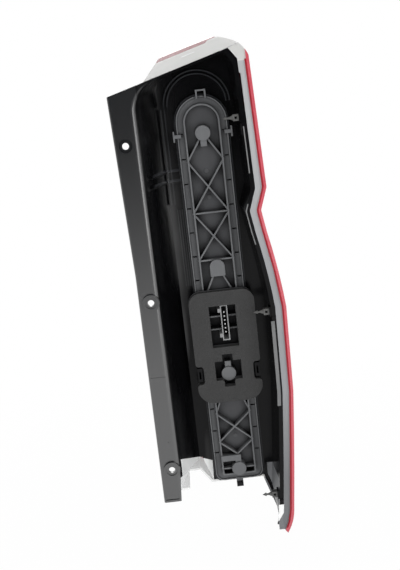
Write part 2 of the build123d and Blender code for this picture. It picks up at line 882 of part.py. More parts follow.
# Bulb carrier: plate with raised ledge and lip, rails, truss ribs, sockets, box walls, ears and hoop
rail_left = carrier_x - carrier_half + rail_inset
rail_right = carrier_x + carrier_half - rail_inset
with BuildPart() as bulb_carrier:
    with BuildSketch(level(seal_back)):
        carrier_face(0)
    extrude(amount=carrier_plate)
    with BuildSketch(level(plate_back)):
        carrier_face(0)
        carrier_face(-rail_inset, mode=Mode.SUBTRACT)
    extrude(amount=ledge_height)
    with BuildSketch(level(plate_back)):
        carrier_face(-rail_inset)
        carrier_face(-rail_inset - rail_width, mode=Mode.SUBTRACT)
    extrude(amount=rail_height)
    with BuildSketch(level(plate_back)):
        for high, low in [(truss_a_z, truss_b_z), (truss_b_z, truss_c_z), (truss_d_z, truss_e_z)]:
            rib((rail_left, high), (rail_right, low), truss_width)
            rib((rail_right, high), (rail_left, low), truss_width)
        for crossing in [truss_b_z, truss_c_z, fog_z]:
            rib((rail_left, crossing), (rail_right, crossing), truss_width)
        for corner_x_side in [rail_left, rail_right]:
            rib((corner_x_side, truss_a_z), (carrier_x, stop_z), truss_width)
            rib((corner_x_side, truss_e_z), (carrier_x, truss_end_z), truss_width)
            rib((corner_x_side, truss_d_z), (carrier_x, reverse_z), truss_width)
            rib((corner_x_side, pad_top - pad_corner), (carrier_x, indicator_z), truss_width)
    extrude(amount=truss_height)
    with BuildSketch(level(plate_back)):
        with Locations([(carrier_x, z) for z in bulb_heights]):
            Circle(socket_radius)
        with Locations((carrier_x, indicator_z)):
            Rectangle(2 * socket_radius, socket_tail, align=(Align.CENTER, Align.MAX))
    extrude(amount=socket_height)
    with BuildSketch(level(plate_back)):
        with Locations((rail_left, shelf_z)):
            shelf_width = carrier_x + neck_width / 2 - rail_left
            Rectangle(shelf_width, shelf_height, align=(Align.MIN, Align.CENTER))
        for start, end in [
            (stop_z, stop_z - neck_length),
            (indicator_z, truss_c_z),
            (reverse_z, reverse_z + neck_length),
            (fog_z, fog_z + neck_length),
        ]:
            with Locations((carrier_x, (start + end) / 2)):
                Rectangle(neck_width, abs(start - end))
    extrude(amount=neck_height)
    with BuildSketch(level(plate_back)):
        with Locations([(carrier_x, z) for z in ejector_heights]):
            Circle(ejector_radius)
    extrude(amount=ejector_height)
    with BuildSketch(level(seal_back)):
        with Locations((tab_x, carrier_bottom)):
            Rectangle(tab_width, 2 * tab_drop)
        for hole_x in [tab_x - tab_hole_pitch / 2, tab_x + tab_hole_pitch / 2]:
            with Locations((hole_x, carrier_bottom - tab_drop / 2)):
                Rectangle(tab_hole, tab_hole, mode=Mode.SUBTRACT)
    extrude(amount=tab_thickness)
    with BuildSketch(level(plate_back)):
        box_height = pad_top - pad_bottom - pad_corner
        with Locations((carrier_x, (pad_top + pad_bottom) / 2)):
            Rectangle(2 * window_half + 2 * rail_width, box_height)
            Rectangle(2 * window_half, box_height - 2 * rail_width, mode=Mode.SUBTRACT)
        for web_z in web_heights:
            with Locations((carrier_x, web_z)):
                Rectangle(2 * window_half + rail_width, rail_width)
    extrude(amount=pad_gap)
    with BuildSketch(level(plate_back)):
        with Locations((shroud_x, shroud_z)):
            Rectangle(shroud_width + 2 * shroud_fit, shroud_height + 2 * shroud_fit)
        for key_z in [shroud_z + key_offset, shroud_z - key_offset]:
            with Locations((shroud_x - shroud_width / 2, key_z)):
                Rectangle(2 * (key_reach + shroud_fit), key_size + 2 * shroud_fit)
    extrude(amount=pad_gap, mode=Mode.SUBTRACT)
    with BuildSketch(level(seal_back)):
        with Locations([(carrier_x, z) for z in bulb_heights]):
            Circle(cap_radius + cap_fit)
    extrude(amount=carrier_plate + socket_height - socket_end, mode=Mode.SUBTRACT)
    with BuildSketch(level(seal_back)):
        with Locations([(shroud_x, z) for z in pin_heights]):
            Rectangle(pin_size, pin_size)
    extrude(amount=carrier_plate, mode=Mode.SUBTRACT)
    with BuildSketch(level(plate_back)):
        with Locations([(x, z) for z in notch_heights for x in notch_columns]):
            Rectangle(rail_inset - 2 * rail_width, notch_width)
    extrude(amount=ledge_height, mode=Mode.SUBTRACT)
    for side in [-1, 1]:
        with BuildSketch(level(ledge_back)):
            arm_length = ear_reach + rail_inset / 2
            with Locations((carrier_x + side * (carrier_half + ear_reach - arm_length / 2), ear_z)):
                Rectangle(arm_length, ear_height)
            with Locations((carrier_x + side * (carrier_half + ear_reach), ear_z)):
                Rectangle(ear_bar, ear_bar_length)
        extrude(amount=ear_thickness)
    with BuildSketch(level(ledge_back)):
        carrier_face(0)
        carrier_face(-lip_width, mode=Mode.SUBTRACT)
    extrude(amount=lip_height)
    with BuildSketch(level(ledge_back)):
        with Locations((hoop_x, carrier_top - hoop_foot)):
            Rectangle(hoop_width, hoop_height + hoop_foot, align=(Align.CENTER, Align.MIN))
            Rectangle(
                hoop_width - 2 * hoop_bar,
                hoop_height + hoop_foot - hoop_bar,
                align=(Align.CENTER, Align.MIN),
                mode=Mode.SUBTRACT,
            )
    extrude(amount=hoop_reach)
finish(bulb_carrier, "bulb_carrier")

# Pad that carries the foam gasket, on the carrier's box walls
with BuildPart() as gasket_pad:
    with BuildSketch(level(pad_front)):
        pad_face()
    extrude(amount=pad_thickness)
finish(gasket_pad, "gasket_pad")

# Shroud round the plug pins, with two keys on its inboard side
with BuildPart() as plug_shroud:
    with BuildSketch(level(plate_back)):
        with Locations((shroud_x, shroud_z)):
            Rectangle(shroud_width, shroud_height)
        for key_z in [shroud_z + key_offset, shroud_z - key_offset]:
            with Locations((shroud_x - shroud_width / 2, key_z)):
                Rectangle(2 * key_reach, key_size)
        with Locations((shroud_x, shroud_z)):
            Rectangle(shroud_width - 2 * shroud_wall, shroud_height - 2 * shroud_wall, mode=Mode.SUBTRACT)
    extrude(amount=shroud_reach)
finish(plug_shroud, "plug_shroud")

# Foam gasket on the pad, sealing the plug opening to the body
with BuildPart() as body_gasket:
    with BuildSketch(level(pad_back)):
        pad_face()
    extrude(amount=gasket_thickness)
finish(body_gasket, "body_gasket")

# Plug pins, through the carrier plate to the tracks on its lens side
with BuildPart() as connector_pins:
    with BuildSketch(level(seal_back)):
        with Locations([(shroud_x, z) for z in pin_heights]):
            Rectangle(pin_size, pin_size)
    extrude(amount=carrier_plate + pin_reach)
finish(connector_pins, "connector_pins")

# Brass tracks on the lens side of the carrier: common earth on the inboard side, four feeds outboard
earth_x = carrier_x - socket_radius - strip_width
with BuildPart() as earth_strip:
    with BuildSketch(level(seal_back + strip_thickness)):
        with Locations((earth_x, (stop_z + fog_z) / 2)):
            Rectangle(strip_width, stop_z - fog_z + strip_width)
        for bulb_z in bulb_heights:
            with Locations((earth_x, bulb_z)):
                earth_length = carrier_x - cap_radius - track_gap - earth_x
                Rectangle(earth_length, strip_width, align=(Align.MIN, Align.CENTER))
        with Locations((earth_x, pin_heights[2])):
            Rectangle(shroud_x + pin_size - earth_x, earth_tail, align=(Align.MIN, Align.CENTER))
    extrude(amount=strip_thickness)
finish(earth_strip, "earth_strip")

feed_inner = carrier_x + socket_radius + lane_width
feed_outer = feed_inner + lane_pitch
with BuildPart() as feed_strips:
    with BuildSketch(level(seal_back + strip_thickness)):
        for bulb_z, pin_z, lane_x in [
            (stop_z, pin_heights[1], feed_outer),
            (indicator_z, pin_heights[0], feed_inner),
            (reverse_z, pin_heights[5], feed_inner),
            (fog_z, pin_heights[4], feed_outer),
        ]:
            with Locations((lane_x, (bulb_z + pin_z) / 2)):
                Rectangle(lane_width, abs(bulb_z - pin_z) + lane_width)
            track_start = carrier_x + cap_radius + track_gap
            with Locations((track_start, bulb_z)):
                Rectangle(lane_x - track_start, lane_width, align=(Align.MIN, Align.CENTER))
            with Locations((shroud_x - pin_size, pin_z)):
                Rectangle(lane_x - shroud_x + pin_size, lane_width, align=(Align.MIN, Align.CENTER))
    extrude(amount=strip_thickness)
finish(feed_strips, "feed_strips")

# Bulbs: bayonet cap in the carrier's socket, pear-shaped glass in the reflector bowl
cap_front = seal_back + cap_above_seal
cap_back = socket_back + socket_end
for bulb_name, bulb_z in [
    ("stop_tail_bulb", stop_z),
    ("indicator_bulb", indicator_z),
    ("reverse_bulb", reverse_z),
    ("fog_bulb", fog_z),
]:
    with BuildPart() as bulb_cap:
        with BuildSketch(level(cap_front)):
            with Locations((carrier_x, bulb_z)):
                Circle(cap_radius)
        extrude(amount=cap_front - cap_back)
    finish(bulb_cap, f"{bulb_name}_cap")
    with BuildPart() as bulb_glass:
        with BuildSketch(Plane.XY.offset(bulb_z)):
            with BuildLine():
                neck = (carrier_x + glass_neck, cap_front)
                belly = (carrier_x + glass_radius, cap_front + glass_length - glass_radius)
                tip = (carrier_x, cap_front + glass_length)
                Line((carrier_x, cap_front), neck)
                Spline(neck, belly, tangents=[(glass_flare, 1), (0, 1)])
                RadiusArc(belly, tip, -glass_radius)
                Line(tip, (carrier_x, cap_front))
            make_face()
        revolve(axis=Axis((carrier_x, 0, bulb_z), (0, 1, 0)))
    finish(bulb_glass, f"{bulb_name}_glass")

# Metallised reflector: face plate with four bowls that stand on the tray floor
with BuildPart() as reflector:
    with BuildSketch(level(reflector_depth)):
        lens_face()
        offset(amount=-reflector_margin, kind=Kind.INTERSECTION)
        with Locations((reflector_right, 0)):
            Rectangle(
                side_reach, above_all - below_all, align=(Align.MIN, Align.CENTER), mode=Mode.SUBTRACT
            )
        with Locations((sill_right, sill_z + reflector_margin)):
            Rectangle(side_reach, side_reach, align=(Align.MAX, Align.MAX), mode=Mode.SUBTRACT)
    extrude(amount=reflector_wall)
    split(bisect_by=inboard_plane(reflector_margin), keep=Keep.BOTTOM)
    split(bisect_by=top_plane(reflector_margin), keep=Keep.BOTTOM)
    with BuildSketch(level(reflector_depth)):
        with Locations([(carrier_x, z) for z in bulb_heights]):
            Circle(bowl_radius - reflector_wall)
    extrude(amount=reflector_wall, mode=Mode.SUBTRACT)
    for bulb_z in bulb_heights:
        with BuildSketch(Plane.XY.offset(bulb_z)):
            with BuildLine():
                foot = (carrier_x + bulb_hole_radius, floor_depth + wall)
                waist = (carrier_x + bowl_waist, (foot[1] + reflector_depth) / 2)
                mouth = (carrier_x + bowl_radius - reflector_wall, reflector_depth)
                ThreePointArc(foot, waist, mouth)
                Line(mouth, (mouth[0] + reflector_wall, mouth[1]))
                ThreePointArc(
                    (mouth[0] + reflector_wall, mouth[1]),
                    (waist[0] + reflector_wall, waist[1]),
                    (foot[0] + reflector_wall, foot[1]),
                )
                Line((foot[0] + reflector_wall, foot[1]), foot)
            make_face()
        revolve(axis=Axis((carrier_x, 0, bulb_z), (0, 1, 0)))
    add(skirt_space.part, mode=Mode.INTERSECT)
finish(reflector, "reflector")

# Push clips: square heads in the holders, arrow-headed stems pointing inboard
with BuildPart() as push_clips:
    for clip_z in clip_heights:
        clip_x = side_face_x(clip_z) - holder_inset - holder_length
        stem_x = clip_x - clip_body_length
        with BuildSketch(Plane.YZ.offset(stem_x)):
            with Locations((clip_depth, clip_z)):
                Rectangle(clip_body, clip_body)
        extrude(amount=clip_body_length)
        with BuildSketch(level(clip_depth + clip_body / 2)):
            with Locations((stem_x + clip_body_length / 2, clip_z)):
                Rectangle(clip_slot, clip_slot)
        extrude(amount=clip_body, mode=Mode.SUBTRACT)
        with BuildSketch(Plane.XY.offset(clip_z)):
            with BuildLine():
                cone_x = stem_x - clip_cone_length
                barb_x = cone_x - clip_neck_length
                Polyline(
                    (stem_x, clip_depth),
                    (stem_x, clip_depth + clip_shoulder),
                    (cone_x, clip_depth + clip_neck),
                    (barb_x, clip_depth + clip_neck),
                    (barb_x, clip_depth + clip_head),
                    (barb_x - clip_head_length, clip_depth),
                    close=True,
                )
            make_face()
        revolve(axis=Axis((0, clip_depth, clip_z), (1, 0, 0)))
finish(push_clips, "push_clips")

# Sealing strips on the outboard rim: thin ones between the upper clips, a wide one below the middle clip
with BuildPart() as edge_strip:
    strip_runs = [(top, bottom, strip_inner, strip_bar) for top, bottom in strip_spans]
    strip_runs.append((cap_strip_top, cap_strip_bottom, cap_strip_inner, cap_strip_bar))
    for run_top, run_bottom, run_inner, run_bar in strip_runs:
        with BuildSketch(level(0)):
            side_face(band_inset + run_inner)
            side_face(band_inset + run_inner + run_bar, mode=Mode.SUBTRACT)
            with Locations((belly_x - band_inset, run_top)):
                Rectangle(
                    2 * side_reach,
                    run_top - run_bottom,
                    align=(Align.CENTER, Align.MAX),
                    mode=Mode.INTERSECT,
                )
        extrude(amount=strip_height)
finish(edge_strip, "edge_strip")
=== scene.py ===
import json
import math

import bmesh
import bpy
from mathutils import Matrix, Vector


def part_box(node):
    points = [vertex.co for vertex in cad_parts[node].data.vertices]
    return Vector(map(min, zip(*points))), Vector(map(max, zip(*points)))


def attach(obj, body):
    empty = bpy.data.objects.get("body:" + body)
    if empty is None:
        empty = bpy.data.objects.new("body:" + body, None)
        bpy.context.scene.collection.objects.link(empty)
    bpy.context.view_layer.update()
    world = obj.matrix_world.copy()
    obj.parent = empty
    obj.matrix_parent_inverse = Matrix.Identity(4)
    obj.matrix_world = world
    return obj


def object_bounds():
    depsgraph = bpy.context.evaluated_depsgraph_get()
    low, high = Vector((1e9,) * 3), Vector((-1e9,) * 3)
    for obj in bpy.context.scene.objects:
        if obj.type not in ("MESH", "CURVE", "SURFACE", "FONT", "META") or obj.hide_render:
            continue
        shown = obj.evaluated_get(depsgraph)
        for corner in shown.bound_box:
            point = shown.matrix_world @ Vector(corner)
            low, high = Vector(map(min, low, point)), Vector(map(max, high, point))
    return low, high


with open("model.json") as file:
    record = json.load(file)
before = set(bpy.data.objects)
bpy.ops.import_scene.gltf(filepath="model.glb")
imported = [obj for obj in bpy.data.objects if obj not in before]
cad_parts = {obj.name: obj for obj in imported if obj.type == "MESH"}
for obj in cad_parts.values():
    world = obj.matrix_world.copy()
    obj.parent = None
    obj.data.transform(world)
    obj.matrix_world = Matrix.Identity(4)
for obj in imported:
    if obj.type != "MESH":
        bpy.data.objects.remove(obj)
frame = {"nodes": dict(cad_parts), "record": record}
cadBox = [list(corner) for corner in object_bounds()]
scene = bpy.context.scene
scene.view_settings.view_transform = "Standard"
print("frame loaded with", len(frame["nodes"]), "nodes")


class Wire:
    # one socket, so that shader maths reads as a plain expression
    def __init__(self, finish, socket):
        self.finish = finish
        self.socket = socket

    def math(self, operation, first, second):
        return self.finish.add("ShaderNodeMath", {"operation": operation}, {0: first, 1: second})

    def __add__(self, other):
        return self.math("ADD", self, other)

    def __radd__(self, other):
        return self.math("ADD", other, self)

    def __sub__(self, other):
        return self.math("SUBTRACT", self, other)

    def __rsub__(self, other):
        return self.math("SUBTRACT", other, self)

    def __mul__(self, other):
        return self.math("MULTIPLY", self, other)

    def __rmul__(self, other):
        return self.math("MULTIPLY", other, self)


class Finish:
    # a material and the one way in which its nodes are added
    def __init__(self, name, tree=None):
        if tree is None:
            self.material = bpy.data.materials.new(name)
            self.material.use_nodes = True
            tree = self.material.node_tree
        self.tree = tree
        self.tree.nodes.clear()

    def add(self, kind, settings=None, sockets=None, output=0):
        node = self.tree.nodes.new(kind)
        for name, value in (settings or {}).items():
            setattr(node, name, value)
        for name, value in (sockets or {}).items():
            if isinstance(value, Wire):
                self.tree.links.new(value.socket, node.inputs[name])
            else:
                node.inputs[name].default_value = value
        return Wire(self, node.outputs[output]) if node.outputs else node

    def place(self):
        return self.add("ShaderNodeTexCoord", output="Object")

    def axis(self, name):
        return self.add("ShaderNodeSeparateXYZ", None, {0: self.place()}, name)

    def noise(self, scale, detail=2.0, rough=0.5, stretch=(1, 1, 1)):
        where = self.add("ShaderNodeMapping", None, {"Vector": self.place(), "Scale": stretch})
        return self.add("ShaderNodeTexNoise", None,
                        {"Vector": where, "Scale": scale, "Detail": detail, "Roughness": rough})

    def cells(self, scale):
        return self.add("ShaderNodeTexVoronoi", None, {"Vector": self.place(), "Scale": scale})

    def waves(self, way, scale):
        return self.add("ShaderNodeTexWave", {"wave_type": "BANDS", "bands_direction": way},
                        {"Vector": self.place(), "Scale": scale, "Distortion": 0.0})

    def facing(self, name):
        # how far the surface faces along one axis, from -1 to 1
        normal = self.add("ShaderNodeNewGeometry", output="Normal")
        return self.add("ShaderNodeSeparateXYZ", None, {0: normal}, name)

    def span(self, value, low, high, outLow=0.0, outHigh=1.0):
        return self.add("ShaderNodeMapRange", {"clamp": True},
                        {"Value": value, "From Min": low, "From Max": high, "To Min": outLow, "To Max": outHigh})

    def above(self, value, level, soft):
        return self.span(value, level, level + soft)

    def below(self, value, level, soft):
        return self.span(value, level, level + soft, 1.0, 0.0)

    def near(self, value, place, half):
        # 1 close to a level, 0 away from it
        gap = self.add("ShaderNodeMath", {"operation": "ABSOLUTE"}, {0: value - place})
        return self.below(gap, half, half * 0.6)

    def blend(self, factor, first, second):
        return self.add("ShaderNodeMix", {"data_type": "RGBA"}, {0: factor, 6: first, 7: second}, 2)

    def bump(self, height, strength, distance, under=None):
        sockets = {"Height": height, "Strength": strength, "Distance": distance}
        if under:
            sockets["Normal"] = under
        return self.add("ShaderNodeBump", None, sockets)

    def surface(self, **sockets):
        shader = self.add("ShaderNodeBsdfPrincipled", None, sockets)
        self.show(shader)
        return shader

    def show(self, shader):
        self.add("ShaderNodeOutputMaterial", None, {"Surface": shader})


def rgb(red, green, blue):
    # 8-bit screen colour to scene linear
    def linear(value):
        value = value / 255
        return value / 12.92 if value <= 0.04045 else ((value + 0.055) / 1.055) ** 2.4
    return (linear(red), linear(green), linear(blue), 1.0)


def dress(node, finish):
    mesh = frame["nodes"][node].data
    mesh.materials.clear()
    mesh.materials.append(finish.material)


# Black moulded housing: satin flange whose coat grows towards its foot as a painted reflection gradient, glossy
# tray, painted highlights on the rib tops and on two ridges
def makeHousingBlack():
    look = dict(deep=rgb(7, 7, 8), worn=rgb(15, 15, 17), ribTopHighlight=rgb(34, 35, 37), flangePale=rgb(14, 15, 17),
                flangeEnd=0.0018, flangeRight=0.0135, flangeSoft=0.001, flangeRough=0.2,
                ribTops=(0.053, 0.056, 0.059), ribHalf=0.0003, ribLeft=0.0378, ribRight=0.129, ribSoft=0.0004,
                ridgeHighlight=rgb(42, 43, 46), ridges=(0.1565, 0.1435), ridgeHalf=0.0012, ridgeLeft=0.02,
                ridgeRight=0.054, ridgeDepth=0.012, ridgeFade=dict(left=0.003, right=0.001, depth=0.004),
                dish=(-0.0069, 0.1998), dishHalf=0.0086, dishDepth=0.0003, dishMatt=0.8,
                streakRight=0.04, streakSoft=0.02, streakShare=0.8, sheenFoot=-0.1, sheenTop=0.24, sheenLeast=0.45)
    f = Finish("housingBlack")
    across, depth, height = (f.axis(name) for name in "XYZ")
    flange = f.below(depth, look["flangeEnd"], look["flangeSoft"])
    flange = flange * f.below(across, look["flangeRight"], look["flangeSoft"])
    inside = f.above(across, look["ribLeft"], look["ribSoft"]) * f.below(across, look["ribRight"], look["ribSoft"])
    tops = sum(f.near(depth, level, look["ribHalf"]) for level in look["ribTops"]) * inside
    fade = look["ridgeFade"]
    ridge = sum(f.near(height, level, look["ridgeHalf"]) for level in look["ridges"])
    ridge = ridge * f.above(depth, look["ridgeDepth"], fade["depth"])
    ridge = ridge * f.above(across, look["ridgeLeft"], fade["left"])
    ridge = ridge * f.below(across, look["ridgeRight"], fade["right"])
    dish = f.near(across, look["dish"][0], look["dishHalf"]) * f.near(height, look["dish"][1], look["dishHalf"])
    dish = dish * f.above(depth, look["dishDepth"], look["dishDepth"])

    cloud = f.noise(14, 3)
    grain = f.noise(900, 2)
    dust = f.span(f.noise(60, 6, 0.7), 0.55, 0.8)
    tone = f.blend(cloud * 0.5 + dust * 0.4, look["deep"], look["worn"])
    # painted highlight: the rib tops are lightened where their rounded edges would catch light
    tone = f.blend(tops * f.span(grain, 0.3, 0.6, 0.5, 1.0), tone, look["ribTopHighlight"])
    # painted highlight: a paler band along each ridge, where its upper slope would catch light
    tone = f.blend(ridge, tone, look["ridgeHighlight"])
    tone = f.blend(flange * f.span(cloud, 0.3, 0.7, 0.75, 1.0), tone, look["flangePale"])

    streak = f.span(f.noise(16, 3, 0.5, (1, 1, 0.2)), 0.48, 0.66) * look["streakShare"] * (1 - flange)
    streak = streak * f.below(across, look["streakRight"], look["streakSoft"])
    # painted reflection gradient: the flange's coat, and with it its reflection, grows from the top down to the
    # foot
    haze = f.span(height, look["sheenFoot"], look["sheenTop"], 1.0, look["sheenLeast"])
    gloss = flange * (1 - dish * look["dishMatt"]) * haze + streak
    rough = f.span(cloud, 0.3, 0.7, 0.14, 0.22) + flange * look["flangeRough"] + dust * 0.1
    ripple = f.bump(f.noise(38, 2, 0.4, (1, 1, 0.12)), 0.12, 0.003)
    skin = f.bump(grain, 0.12, 0.0002, ripple)
    f.surface(**{"Base Color": tone, "Roughness": rough, "Normal": skin, "Specular IOR Level": 0.16,
                 "Coat Weight": gloss, "Coat Roughness": 0.3, "Coat IOR": 2.15})
    return f


# Matt grey moulding with flow marks; with a shadow tone it gets painted shade in its depths, in corners and round
# the plug, and on the tab at its foot
def makeMouldedGrey(name, deep, pale, shadow=None):
    look = dict(nearDepth=0.05, farDepth=0.0565, depthShadeShare=0.75, boxTop=-0.006, boxBottom=-0.15, boxDepth=0.0425,
                boxSoft=0.002, boxShadeShare=0.8, boxShade=rgb(10, 10, 11), cornerReach=0.011, cornerShade=rgb(9, 9, 10),
                tabHeight=0.009, tabSoft=0.001, tabShade=rgb(14, 14, 15))
    f = Finish(name)
    flow = f.noise(30, 4, 0.6, (1, 1, 0.25))
    speck = f.noise(700, 2)
    tone = f.blend(f.span(flow, 0.3, 0.75), deep, pale)
    if shadow:
        depth = f.axis("Y")
        height = f.axis("Z")
        # painted shade: the colour darkens towards the shadow tone the deeper the surface lies
        tone = f.blend(f.span(depth, look["nearDepth"], look["farDepth"]) * look["depthShadeShare"], tone, shadow)
        # painted shade: a dark box behind the gasket pad, where shade falls
        boxed = f.above(height, look["boxBottom"], look["boxSoft"])
        boxed = boxed * f.below(height, look["boxTop"], look["boxSoft"])
        boxed = boxed * f.above(depth, look["boxDepth"], look["boxSoft"])
        tone = f.blend(boxed * look["boxShadeShare"], tone, look["boxShade"])
        # painted shade: ambient occlusion darkens the colour in corners and beside the ribs
        corner = f.add("ShaderNodeAmbientOcclusion", {"samples": 8}, {"Distance": look["cornerReach"]}, "AO")
        tone = f.blend(f.span(corner, 0.25, 0.8), look["cornerShade"], tone)
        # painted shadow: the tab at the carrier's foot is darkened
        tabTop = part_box("bulb_carrier")[0][2] + look["tabHeight"]
        tone = f.blend(f.below(height, tabTop - look["tabSoft"], look["tabSoft"]), tone, look["tabShade"])
    rough = f.span(flow, 0.3, 0.7, 0.46, 0.58)
    skin = f.bump(speck, 0.2, 0.0002)
    f.surface(**{"Base Color": tone, "Roughness": rough, "Normal": skin, "Specular IOR Level": 0.25})
    return f


# Closed-cell foam
def makeFoam(name, deep, pale):
    f = Finish(name)
    pores = f.cells(900)
    mottle = f.noise(120, 5, 0.7)
    tone = f.blend(f.span(pores, 0.1, 0.7) * 0.6 + mottle * 0.4, deep, pale)
    skin = f.bump(pores, 0.5, 0.0006, f.bump(mottle, 0.15, 0.0008))
    f.surface(**{"Base Color": tone, "Roughness": 0.93, "Normal": skin, "Specular IOR Level": 0.2})
    return f


# Pale translucent skirt: a greyer band and tail outboard, a clearer fin at the foot, the lens's red lip on top
def makeSkirtGrey():
    look = dict(deep=rgb(190, 189, 186), pale=rgb(207, 206, 203), web=rgb(172, 172, 170),
                band=rgb(130, 131, 133), bandPale=rgb(150, 151, 152), bandPaleTop=0.2, bandEnd=0.0053,
                bandLeft=0.122, bandTop=0.286, tail=rgb(104, 105, 107), tailTop=-0.14, tailSoft=0.12,
                fin=rgb(240, 241, 240), finTop=-0.238, finRight=0.066, finSoft=0.01, finClear=0.6,
                lip=rgb(118, 12, 24), lipStart=0.0885, lipRight=0.106, lipTurn=0.04, lipLean=0.004,
                lipStep=0.0145, lipSoft=0.001, topFoot=0.24, topSoft=0.004, topFacing=0.86, topFacingSoft=0.06)
    f = Finish("skirtGrey")
    across, depth, height = (f.axis(name) for name in "XYZ")
    outboard = f.above(across, look["bandLeft"], 0.003)
    band = f.below(depth, look["bandEnd"], 0.001) * outboard
    web = band * f.above(height, look["bandTop"], 0.002)
    tail = f.below(height, look["tailTop"] - look["tailSoft"], look["tailSoft"]) * outboard
    fin = f.below(height, look["finTop"] - look["finSoft"], look["finSoft"])
    fin = fin * f.below(across, look["finRight"], look["finSoft"])
    # the lip is wide along the straight edge and thin round the corner
    edge = f.span(across, look["lipRight"], look["lipRight"] + look["lipTurn"],
                  look["lipStart"], look["lipStart"] - look["lipLean"])
    edge = edge + f.above(across, look["lipRight"], look["topSoft"]) * look["lipStep"]
    lip = f.above(depth - edge, 0.0, look["lipSoft"]) * f.above(height, look["topFoot"], look["topSoft"])
    lip = lip * f.above(f.facing("Z"), look["topFacing"], look["topFacingSoft"])

    haze = f.noise(9, 3)
    scuff = f.span(f.noise(260, 4, 0.7, (1, 1, 0.15)), 0.5, 0.8)
    bandTone = f.blend(f.span(height, 0.0, look["bandPaleTop"]), look["band"], look["bandPale"])
    tone = f.blend(f.span(haze, 0.3, 0.7), look["deep"], look["pale"])
    tone = f.blend(band - web, tone, bandTone)
    for mask, name in ((web, "web"), (tail, "tail"), (fin, "fin"), (lip, "lip")):
        tone = f.blend(mask, tone, look[name])
    rough = f.span(haze, 0.3, 0.7, 0.4, 0.5) + scuff * 0.15
    skin = f.bump(f.noise(70, 1), 0.03, 0.001)
    f.surface(**{"Base Color": tone, "Roughness": rough, "Normal": skin, "Specular IOR Level": 0.12,
                 "Alpha": 1 - fin * look["finClear"]})
    return f


# Red acrylic with pillow optics; a painted highlight makes it paler along its cut rim, painted shade darkens its
# inboard faces, and the optics' shading is painted into its colour
def makeLensRed():
    look = dict(deep=rgb(150, 8, 22), pale=rgb(216, 28, 44), rim=rgb(218, 98, 111), rimEnd=0.0045, rimShare=0.8,
                inside=rgb(24, 6, 8), fluteScale=62.0)
    f = Finish("lensRed")
    haze = f.noise(12, 3)
    rim = f.below(f.axis("Y"), look["rimEnd"], 0.001)
    # painted shade: faces turned inboard are darkened to the inside tone
    inner = f.span(f.facing("X"), -0.3, -0.6) * (1 - rim)
    optics = f.waves("X", look["fluteScale"]) * f.waves("Z", look["fluteScale"]) * (1 - rim)
    # painted shading: the pillow pattern tints the colour as well as the bump, so it shows in flat light; the haze
    # share is random tone
    tone = f.blend(haze * 0.4 + optics * 0.6, look["deep"], look["pale"])
    tone = f.blend(inner, tone, look["inside"])
    # painted highlight: the cut rim is paler pink, standing in for its glossy reflection
    tone = f.blend(rim * look["rimShare"], tone, look["rim"])
    rough = f.span(haze, 0.3, 0.7, 0.06, 0.12)
    skin = f.bump(optics, 0.1, 0.0006, f.bump(f.noise(50, 1), 0.02, 0.001))
    f.surface(**{"Base Color": tone, "Roughness": rough, "Normal": skin, "Transmission Weight": 0.35, "IOR": 1.49,
                 "Coat Weight": 0.3, "Coat Roughness": 0.03})
    return f


# Clear acrylic windows with moulded flutes
def makeLensClear(name, tint):
    f = Finish(name)
    flutes = f.waves("X", 60.0)
    haze = f.noise(20, 3)
    rough = f.span(haze, 0.3, 0.7, 0.04, 0.1)
    f.surface(**{"Base Color": f.blend(haze, tint, rgb(245, 245, 245)), "Roughness": rough,
                 "Normal": f.bump(flutes, 0.25, 0.001), "Transmission Weight": 0.85, "IOR": 1.49})
    return f


# Bright metals: tinned pins, brass strips, bulb caps, metallised reflector
def makeMetal(name, deep, pale, smooth, coarse, markScale):
    f = Finish(name)
    marks = f.noise(markScale, 4, 0.6)
    tone = f.blend(marks, deep, pale)
    rough = f.span(marks, 0.3, 0.7, smooth, coarse)
    f.surface(**{"Base Color": tone, "Roughness": rough, "Metallic": 1.0, "Normal": f.bump(marks, 0.05, 0.0003)})
    return f


# Bulb glass
def makeBulbGlass():
    f = Finish("bulbGlass")
    haze = f.noise(40, 3)
    f.surface(**{"Base Color": f.blend(haze, rgb(238, 240, 240), rgb(252, 252, 252)),
                 "Roughness": f.span(haze, 0.3, 0.7, 0.02, 0.06), "Transmission Weight": 0.95, "IOR": 1.5})
    return f


# Natural grey clips
def makeClipGrey():
    f = Finish("clipGrey")
    flow = f.noise(160, 3)
    f.surface(**{"Base Color": f.blend(flow, rgb(58, 58, 57), rgb(80, 80, 79)),
                 "Roughness": f.span(flow, 0.3, 0.7, 0.4, 0.55), "Normal": f.bump(f.noise(900, 2), 0.15, 0.0002)})
    return f


# Plain satin plastic for the thin dressing
def makeSatin(name, deep, pale):
    f = Finish(name)
    haze = f.noise(60, 3)
    f.surface(**{"Base Color": f.blend(haze, deep, pale), "Roughness": f.span(haze, 0.3, 0.7, 0.4, 0.5),
                 "Normal": f.bump(f.noise(500, 2), 0.1, 0.0002), "Specular IOR Level": 0.2})
    return f


